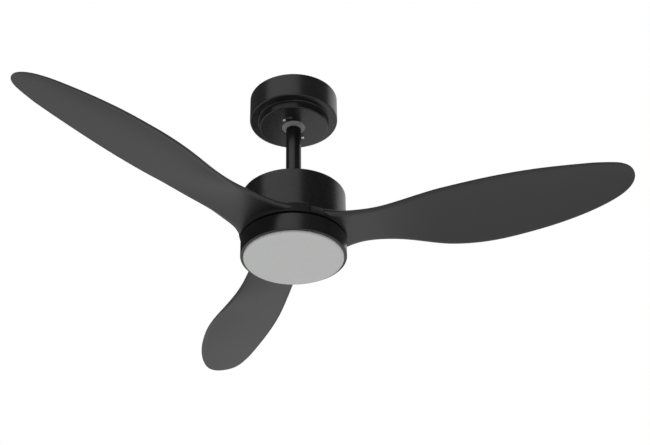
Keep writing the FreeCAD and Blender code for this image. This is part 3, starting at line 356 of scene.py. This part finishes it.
def batten(points):
    """A natural cubic through the points, as a function."""
    x, y = np.array(points, float).T
    gaps, count = np.diff(x), len(x)
    grid, load = np.zeros((count, count)), np.zeros(count)
    grid[0, 0] = grid[-1, -1] = 1.0
    for k in range(1, count - 1):
        grid[k, k - 1:k + 2] = gaps[k - 1], 2 * (gaps[k - 1] + gaps[k]), gaps[k]
        load[k] = 6 * ((y[k + 1] - y[k]) / gaps[k] - (y[k] - y[k - 1]) / gaps[k - 1])
    bend = np.linalg.solve(grid, load)

    def value(at):
        k = min(max(int(np.searchsorted(x, at)) - 1, 0), count - 2)
        t = at - x[k]
        slope = (y[k + 1] - y[k]) / gaps[k] - gaps[k] * (2 * bend[k] + bend[k + 1]) / 6
        return y[k] + t * (slope + t * (bend[k] / 2 + t * (bend[k + 1] - bend[k]) / (6 * gaps[k])))

    return value


def eased(t):
    t = min(max(t, 0.0), 1.0)
    return t * t * (3 - 2 * t)


def nose(share, start):
    along = max(0.0, (share - start) / (1 - start))
    return math.sqrt(max(0.0, 1 - along * along))


half_root = 0.94 * math.sqrt(ring_r**2 - root_x**2)
width_behind = batten([(0.0, half_root)] + [(s, behind * chord) for s, behind, _ in blade_plan])
width_ahead = batten([(0.0, half_root)] + [(s, ahead * chord) for s, _, ahead in blade_plan])
line_height = batten([(s, rise * tip_rise) for s, rise in blade_rise])
print("widest", round(1000 * max(width_behind(s / 50) + width_ahead(s / 50) for s in range(51)), 1), "mm")

# %% [markdown]
# ## One ring of points
# Each ring is a flat top, a round edge, a flat underside and the other round edge. The flats are divided
# finely, because the camber and the pitch both change along them.

# %% Blade rings
flat_points, edge_points = 26, 9


def section_points():
    """(across, up, edge) round the section: across and up in -1..1, edge 0 on the flats."""
    flats = [1 - 2 * k / flat_points for k in range(flat_points + 1)]
    rounds = [math.pi * k / edge_points for k in range(1, edge_points)]
    points = [(u, 1.0, 0.0) for u in flats]
    points += [(-1.0, math.cos(turn), math.sin(turn)) for turn in rounds]
    points += [(-u, -1.0, 0.0) for u in flats]
    return points + [(1.0, -math.cos(turn), math.sin(turn)) for turn in rounds]


def blade_ring(share):
    x = root_x + share * (sweep_r - root_x)
    line = -line_back * max(0.0, (share - 0.177) / 0.823) ** 2
    behind = line + width_behind(share) * nose(share, 0.677)
    ahead = line - width_ahead(share) * nose(share, 0.864)
    middle, half = (behind + ahead) / 2, max((behind - ahead) / 2, 0.1 * MM)
    slope = math.tan(pitch * eased((share - 0.085) / 0.315))
    swell = root_swell * max(0.0, 1 - share / 0.16) ** 2
    thick = (root_thick - tip_thinner * share + swell) * MM * (0.3 + 0.7 * nose(share, 0.864))
    edge = min(thick, 0.5 * half)
    camber = dish * eased(share / 0.40) * 2 * half / chord
    centre = z_plate - sag + line_height(share)
    ring = []
    for across, up, bulge in section_points():
        y = (half - edge) * across + edge * math.copysign(bulge, across)
        u = y / half
        z = centre - y * slope + camber * (1 - u * u) + up * thick / 2
        ring.append((x, middle + y, z))
    return ring


def ring_radius(z):
    return ring_r - (z_plate - z) * math.tan(ring_taper)


def wing():
    shares = list(np.linspace(0.0, 0.14, 48)) + list(np.linspace(0.14, 0.86, 70))[1:]
    shares += [0.86 + 0.13999 * math.sin(turn) for turn in np.linspace(0, math.pi / 2, 34)][1:]
    return skin("wing", [blade_ring(share) for share in shares])


wing_mesh = wing()
print("wing", len(wing_mesh.polygons), "faces")

# %% [markdown]
# ## The hub sector
# Each blade is moulded in one piece with a third of the hub ring. The ring draws in downwards, its lip
# leans, so that neighbours step at the seam, and the lip's raised end is rounded and chamfered. All of that
# is one profile whose corners move as it is swept round, so no cutting is needed for it.

# %% Hub sector
corner_back, corner_fall = 11.0 * MM, 5.5 * MM
chamfer_in, chamfer_back = 2.1 * MM, 3.4 * MM
plate_t = 8.0 * MM
plate_inner_r = screw_r - 14 * MM
screw_turns = np.radians((-38.0, 0.0, 38.0))
counterbore_r, screw_hole_r = 4.5 * MM, 2.2 * MM
half_seam = 0.25 * MM


def sector():
    start = seam_turn - math.pi / 3 + half_seam / ring_r
    end = seam_turn + math.pi / 3 - half_seam / ring_r
    fine = [corner_back * (1 - math.cos(turn)) / ring_r for turn in np.linspace(0, math.pi / 2, 16)]
    turns = list(np.linspace(start, end - fine[-1], 60)) + [end - step for step in fine[-2::-1]]
    rings = []
    for turn in turns:
        back = (end - turn) * ring_r
        top = z_plate + ring_r * math.sin(turn) * math.tan(ring_rake)
        top -= corner_fall * (1 - math.sqrt(1 - max(0.0, 1 - back / corner_back) ** 2))
        soft = min(0.7 * MM, 0.4 * (top - shelf_z))
        limit = ring_r + (back - chamfer_back) * chamfer_in / chamfer_back
        kink_z = z_plate + (limit - ring_r) / math.tan(ring_taper)
        kink_z = min(max(kink_z, ring_low_z + 0.1 * MM), top - soft - 0.1 * MM)
        foot, kink, head = [min(ring_radius(z), limit) for z in (ring_low_z, kink_z, top)]
        profile = [(plate_inner_r, z_plate), (plate_inner_r, z_plate - plate_t)]
        profile += [(plate_r - 2 * MM, z_plate - plate_t), (plate_r - 2 * MM, ring_low_z)]
        profile += [(foot, ring_low_z)]
        profile += [(kink, kink_z), (head, top - soft), (head - 0.3 * soft, top - 0.3 * soft)]
        profile += [(head - soft, top)]
        profile += [(lip_r, top), (lip_r, shelf_z), (plate_r, shelf_z), (plate_r, z_plate)]
        rings.append([(r * math.cos(turn), r * math.sin(turn), z) for r, z in profile])
    return skin("sector", rings)


def blade_mesh():
    clear = lathed("clear", [(0, z_plate), (plate_r, z_plate), (plate_r, shelf_z), (lip_r, shelf_z),
                             (lip_r, z_plate + 0.05), (0, z_plate + 0.05)], 240)
    body = combined(combined(wing_mesh, clear, "DIFFERENCE"), sector(), "UNION")
    for turn in screw_turns:
        centre = (screw_r * math.cos(turn), screw_r * math.sin(turn))
        steps = [(0, -0.03), (counterbore_r, -0.03), (counterbore_r, -plate_t)]
        steps += [(screw_hole_r, -plate_t), (screw_hole_r, 1 * MM)]
        hole = lathed("hole", [(r, z_plate + z) for r, z in steps + [(0, 1 * MM)]], 24, centre)
        body = combined(body, hole, "DIFFERENCE")
    return finished(body)


one_blade = blade_mesh()
print("blade", len(one_blade.polygons), "faces")

# %% Three blades
for letter, at in zip("abc", (105.7, 225.7, 345.7)):
    mesh = one_blade.copy()
    mesh.transform(Matrix.Rotation(math.radians(at), 4, "Z"))
    piece = placed(f"moulded_blade_{letter}", mesh, "rotor", "black_plastic", f"blade_{letter}")

# %% [markdown]
# ## Screws on a circle
# The housing hangs on three pan-head screws evenly round the axis. One screw is lathed and gets its cross
# recess; a small node tree then repeats it round a circle, so the count and the radius are plain inputs.

# %% One pan-head screw
head_top, shank_low = high("housing_screws")[2], low("housing_screws")[2]
head_r, head_h, shank_r = 3.4 * MM, 2.2 * MM, 1.9 * MM
housing_screw_count, housing_screw_r, housing_screw_turn = 3, 24.0 * MM, math.radians(30)


def cross_bar(turn):
    long, wide, deep = 1.9 * MM, 0.45 * MM, 1.3 * MM
    corners = [(long, wide), (-long, wide), (-long, -wide), (long, -wide)]
    c, s = math.cos(turn), math.sin(turn)
    flat = [(c * x - s * y, s * x + c * y) for x, y in corners]
    return skin("bar", [[(x, y, z) for x, y in flat] for z in (head_top - deep, head_top + MM)])


def screw_mesh():
    face = head_top - head_h
    crown = [(0.93 * head_r, head_top - 0.5 * head_h), (0.75 * head_r, head_top - 0.14 * head_h)]
    profile = [(0, shank_low), (0.8 * shank_r, shank_low), (shank_r, shank_low + 0.4 * MM), (shank_r, face)]
    profile += [(head_r, face), (head_r, face + 0.25 * head_h), *crown]
    profile += [(0.4 * head_r, head_top), (0, head_top)]
    body = lathed("screw", profile, 32)
    for turn in (0.35, 0.35 + math.pi / 2):
        body = combined(body, cross_bar(turn), "DIFFERENCE")
    return finished(body)


# %% Repeat it round the axis
def circle_group():
    tree = bpy.data.node_groups.new("round the axis", "GeometryNodeTree")
    socket(tree, "Piece", "NodeSocketObject")
    socket(tree, "Count", "NodeSocketInt", value=3)
    socket(tree, "Radius", "NodeSocketFloat", value=0.02)
    socket(tree, "First turn", "NodeSocketFloat", value=0.0)
    socket(tree, "Finish", "NodeSocketMaterial")
    socket(tree, "Geometry", "NodeSocketGeometry", "OUTPUT")
    start, end = node(tree, "NodeGroupInput"), node(tree, "NodeGroupOutput")
    circle, turned = node(tree, "GeometryNodeMeshCircle"), node(tree, "ShaderNodeCombineXYZ")
    spin, piece = node(tree, "GeometryNodeTransform"), node(tree, "GeometryNodeObjectInfo")
    repeat, real = node(tree, "GeometryNodeInstanceOnPoints"), node(tree, "GeometryNodeRealizeInstances")
    paint = node(tree, "GeometryNodeSetMaterial")
    link = tree.links.new
    link(start.outputs["Count"], circle.inputs["Vertices"])
    link(start.outputs["Radius"], circle.inputs["Radius"])
    link(start.outputs["First turn"], turned.inputs["Z"])
    link(circle.outputs["Mesh"], spin.inputs["Geometry"])
    link(turned.outputs["Vector"], spin.inputs["Rotation"])
    link(start.outputs["Piece"], piece.inputs["Object"])
    link(spin.outputs["Geometry"], repeat.inputs["Points"])
    link(piece.outputs["Geometry"], repeat.inputs["Instance"])
    link(repeat.outputs["Instances"], real.inputs["Geometry"])
    link(real.outputs["Geometry"], paint.inputs["Geometry"])
    link(start.outputs["Finish"], paint.inputs["Material"])
    link(paint.outputs["Geometry"], end.inputs["Geometry"])
    return tree


def round_the_axis(name, mesh, count, radius, first_turn, finish):
    """The mesh repeated round the axis, as one plain mesh."""
    one = bpy.data.objects.new("one " + name, mesh)
    host = bpy.data.objects.new("host", bpy.data.meshes.new("host"))
    for obj in (one, host):
        bpy.context.scene.collection.objects.link(obj)
    rule = host.modifiers.new("rule", "NODES")
    rule.node_group = around_axis
    values = {"Piece": one, "Count": count, "Radius": radius, "First turn": first_turn, "Finish": finish}
    for item in around_axis.interface.items_tree:
        if item.in_out == "INPUT":
            rule[item.identifier] = values[item.name]
    made = bpy.data.meshes.new_from_object(host.evaluated_get(bpy.context.evaluated_depsgraph_get()))
    bpy.data.objects.remove(host)
    bpy.data.objects.remove(one)
    return finished(made)


around_axis = circle_group()
screws = round_the_axis("screw", screw_mesh(), housing_screw_count, housing_screw_r, housing_screw_turn,
                        finishes["black_steel"])
piece = placed("housing_pan_screws", screws, "hanger", "black_steel", "housing_screws")

# %% [markdown]
# ## Studio
# A black object shows what it mirrors more than what falls on it, so the room is planned by reflections.
# The undersides of the blades look down at the floor: a bright floor draws them as soft greys, each blade
# in its own grey because each one is tilted another way. The drums look up: the room above is nearly black
# apart from one wide soft box in front on the left, which gives each drum its broad upright highlight, and
# one behind on the right, which draws a thin bright rim.

# %% Floor and room
floor_glow = 0.81


def floor():
    mesh = bpy.data.meshes.new("floor")
    half, z = 12.0, -3.2
    mesh.from_pydata([(-half, -half, z), (half, -half, z), (half, half, z), (-half, half, z)], [],
                     [(0, 1, 2, 3)])
    obj = bpy.data.objects.new("floor", mesh)
    bpy.context.scene.collection.objects.link(obj)
    paint = grained("pale floor", grey(0.20), grey(0.19), 0.8, (30.0, 4.0), 0.5, 0.02)
    shader = paint.node_tree.nodes["Principled BSDF"]
    shader.inputs["Emission Color"].default_value = (1.0, 1.0, 1.0, 1.0)
    shader.inputs["Emission Strength"].default_value = floor_glow
    obj.data.materials.append(paint)
    return obj


def room(below=floor_glow, above=0.045, overhead=0.8):
    """A room that is bright below, dark at the sides and paler overhead, behind a plain white backdrop."""
    world = bpy.data.worlds.new("studio")
    world.use_nodes = True
    tree = world.node_tree
    link = tree.links.new
    tree.nodes.clear()
    out = node(tree, "ShaderNodeOutputWorld")
    choose = node(tree, "ShaderNodeMixShader")
    backdrop, lighting = node(tree, "ShaderNodeBackground"), node(tree, "ShaderNodeBackground")
    rays, place = node(tree, "ShaderNodeLightPath"), node(tree, "ShaderNodeTexCoord")
    split, shade = node(tree, "ShaderNodeSeparateXYZ"), node(tree, "ShaderNodeValToRGB")
    rise = node(tree, "ShaderNodeMapRange")
    backdrop.inputs["Color"].default_value = (1.0, 1.0, 1.0, 1.0)
    rise.inputs["From Min"].default_value = -1.0
    steps = ((0.39, below), (0.50, above), (0.80, above), (1.0, overhead))
    while len(shade.color_ramp.elements) < len(steps):
        shade.color_ramp.elements.new(0.5)
    for stop, (at, glow) in zip(shade.color_ramp.elements, steps):
        stop.position = at
        stop.color = (glow, glow, glow, 1.0)
    link(place.outputs["Generated"], split.inputs["Vector"])
    link(split.outputs["Z"], rise.inputs["Value"])
    link(rise.outputs["Result"], shade.inputs["Fac"])
    link(shade.outputs["Color"], lighting.inputs["Color"])
    link(rays.outputs["Is Camera Ray"], choose.inputs["Fac"])
    link(lighting.outputs["Background"], choose.inputs[1])
    link(backdrop.outputs["Background"], choose.inputs[2])
    link(choose.outputs["Shader"], out.inputs["Surface"])
    bpy.context.scene.world = world


floor()
room()
bpy.context.scene.view_settings.view_transform = "Standard"

# %% Soft boxes


def soft_box(name, azimuth, elevation, size, glow, distance=3.0):
    """An even panel seen from the fan at that azimuth and elevation; glow is how bright its face looks."""
    az, el = math.radians(azimuth), math.radians(elevation)
    way = Vector((math.cos(az) * math.cos(el), math.sin(az) * math.cos(el), math.sin(el)))
    light = bpy.data.lights.new(name, "AREA")
    light.shape = "RECTANGLE"
    light.size, light.size_y = size
    light.energy = math.pi * size[0] * size[1] * glow
    obj = bpy.data.objects.new(name, light)
    obj.location = Vector((0.0, 0.0, -0.2)) + way * distance
    obj.rotation_euler = (-way).to_track_quat("-Z", "Y").to_euler()
    obj.visible_camera = False
    bpy.context.scene.collection.objects.link(obj)
    return obj


soft_box("front left box", -118.0, 34.0, (4.2, 1.9), 1.02)
soft_box("back right box", 57.0, 30.0, (3.9, 2.4), 0.86)

# %% [markdown]
# ## Camera
# The viewer stands below and in front of the fan and looks up at it, a little to the right of its axis.

# %% Camera
lens_view = bpy.data.cameras.new("viewer")
lens_view.sensor_width = 36.0
lens_view.lens = 71.17
lens_view.shift_x = 0.0483
viewer = bpy.data.objects.new("viewer", lens_view)
viewer.location = (0.0, -1.7304, -1.3776)
viewer.rotation_euler = (math.radians(90.0 + 33.134), 0.0, 0.0)
bpy.context.scene.collection.objects.link(viewer)
bpy.context.scene.camera = viewer
